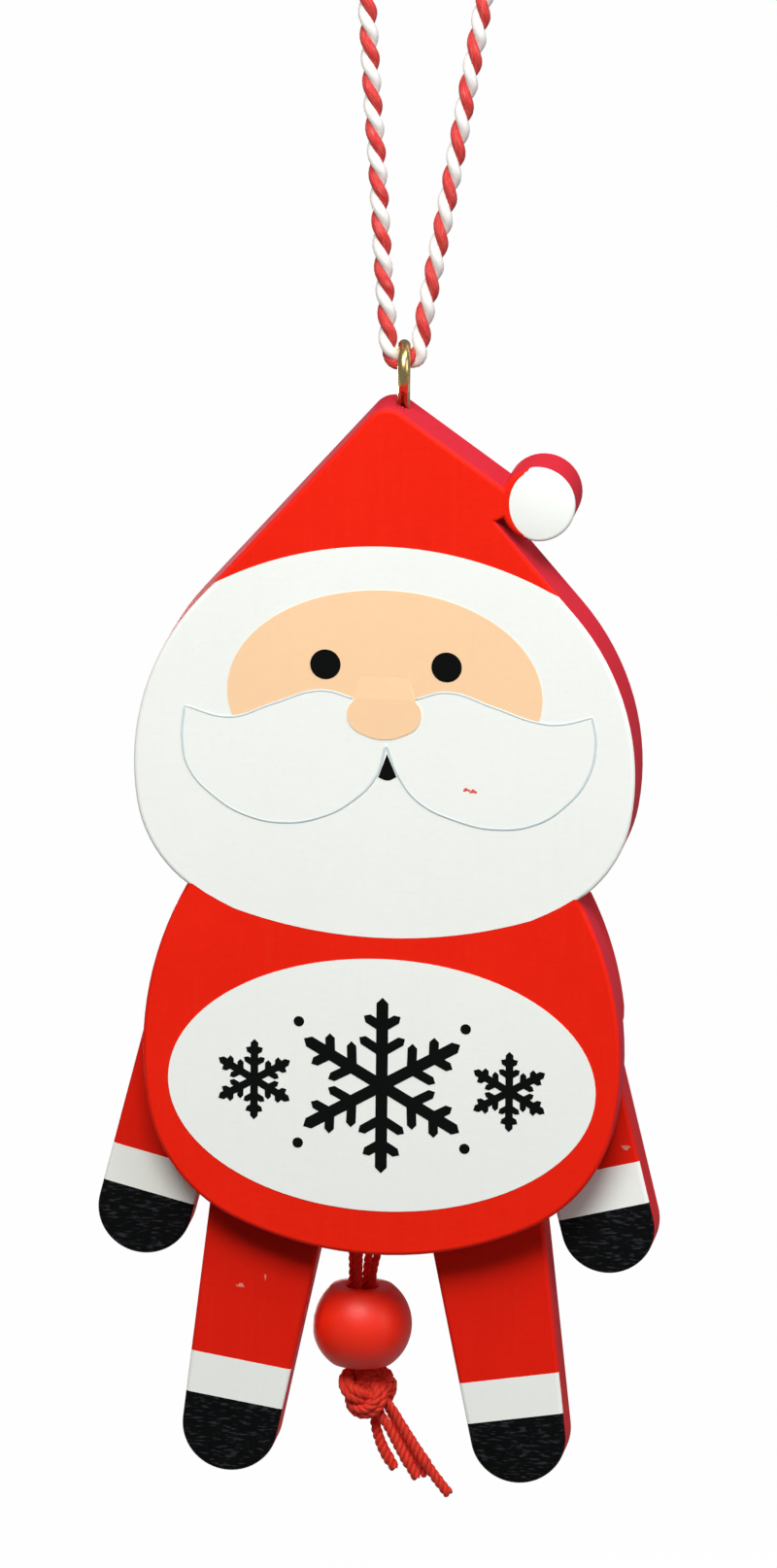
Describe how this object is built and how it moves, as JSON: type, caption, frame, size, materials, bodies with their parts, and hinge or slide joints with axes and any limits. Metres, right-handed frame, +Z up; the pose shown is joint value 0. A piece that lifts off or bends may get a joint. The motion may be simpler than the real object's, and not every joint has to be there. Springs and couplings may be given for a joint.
{
  "type": "pull string jumping jack",
  "caption": "Flat painted wooden figure in a hat and beard, hung by a twine loop; pulling the bead on its cord swings the arms and legs outwards.",
  "frame": {"origin": "centre of the ring of the screw eye, in the middle of the board's thickness", "axes": "+Z up along the hanging figure, -Y out of the painted front, +X to the right seen from the front"},
  "size_m": [0.0582, 0.0155, 0.1804],
  "materials": {
    "painted_board": "satin red paint on wood, white, skin and black printed areas",
    "painted_limb": "satin red paint on wood, white cuffs and black ends",
    "painted_bead": "satin red paint on a turned wooden bead",
    "brass": "polished brass-plated wire",
    "red_cord": "waxed twisted red cord",
    "twine": "two-ply red and white cotton twine"
  },
  "bodies": {
    "figure": {"front_board": "painted_board", "screw_eye": "brass", "left_arm_pin": "brass", "right_arm_pin": "brass", "left_leg_pin": "brass", "right_leg_pin": "brass", "hanging_twine": "twine", "twine_knot": "twine"},
    "left_arm": {"left_arm": "painted_limb", "left_arm_tie": "red_cord"},
    "right_arm": {"right_arm": "painted_limb", "right_arm_tie": "red_cord"},
    "left_leg": {"left_leg": "painted_limb", "left_leg_tie": "red_cord"},
    "right_leg": {"right_leg": "painted_limb", "right_leg_tie": "red_cord"},
    "pull": {"arm_string": "red_cord", "leg_string": "red_cord", "arm_string_hitch": "red_cord", "leg_string_hitch": "red_cord", "arm_pull_cord": "red_cord", "leg_pull_cord": "red_cord", "pull_bead": "painted_bead", "pull_knot": "red_cord", "arm_cord_tails": "red_cord", "leg_cord_tails": "red_cord"}
  },
  "joints": [
    {"name": "left_arm_swing", "type": "hinge", "parent": "figure", "child": "left_arm", "pos_m": [-0.02, 0.0033, -0.066], "axis": [0, 1, 0], "range_deg": [0, 75]},
    {"name": "right_arm_swing", "type": "hinge", "parent": "figure", "child": "right_arm", "pos_m": [0.0158, 0.0033, -0.066], "axis": [0, -1, 0], "range_deg": [0, 75]},
    {"name": "left_leg_swing", "type": "hinge", "parent": "figure", "child": "left_leg", "pos_m": [-0.0127, 0.0033, -0.086], "axis": [0, 1, 0], "range_deg": [0, 50]},
    {"name": "right_leg_swing", "type": "hinge", "parent": "figure", "child": "right_leg", "pos_m": [0.0085, 0.0033, -0.086], "axis": [0, -1, 0], "range_deg": [0, 50]},
    {"name": "pull", "type": "slide", "parent": "figure", "child": "pull", "axis": [0, 0, -1], "range_m": [0, 0.006], "deforming": ["arm_string", "leg_string"]}
  ],
  "couplings": [
    {"joint": "right_arm_swing", "follows": "left_arm_swing", "ratio": 1},
    {"joint": "left_leg_swing", "follows": "left_arm_swing", "ratio": 0.66666},
    {"joint": "right_leg_swing", "follows": "left_arm_swing", "ratio": 0.66666},
    {"joint": "pull", "follows": "left_arm_swing", "m_per_rad": 0.0045836}
  ]
}
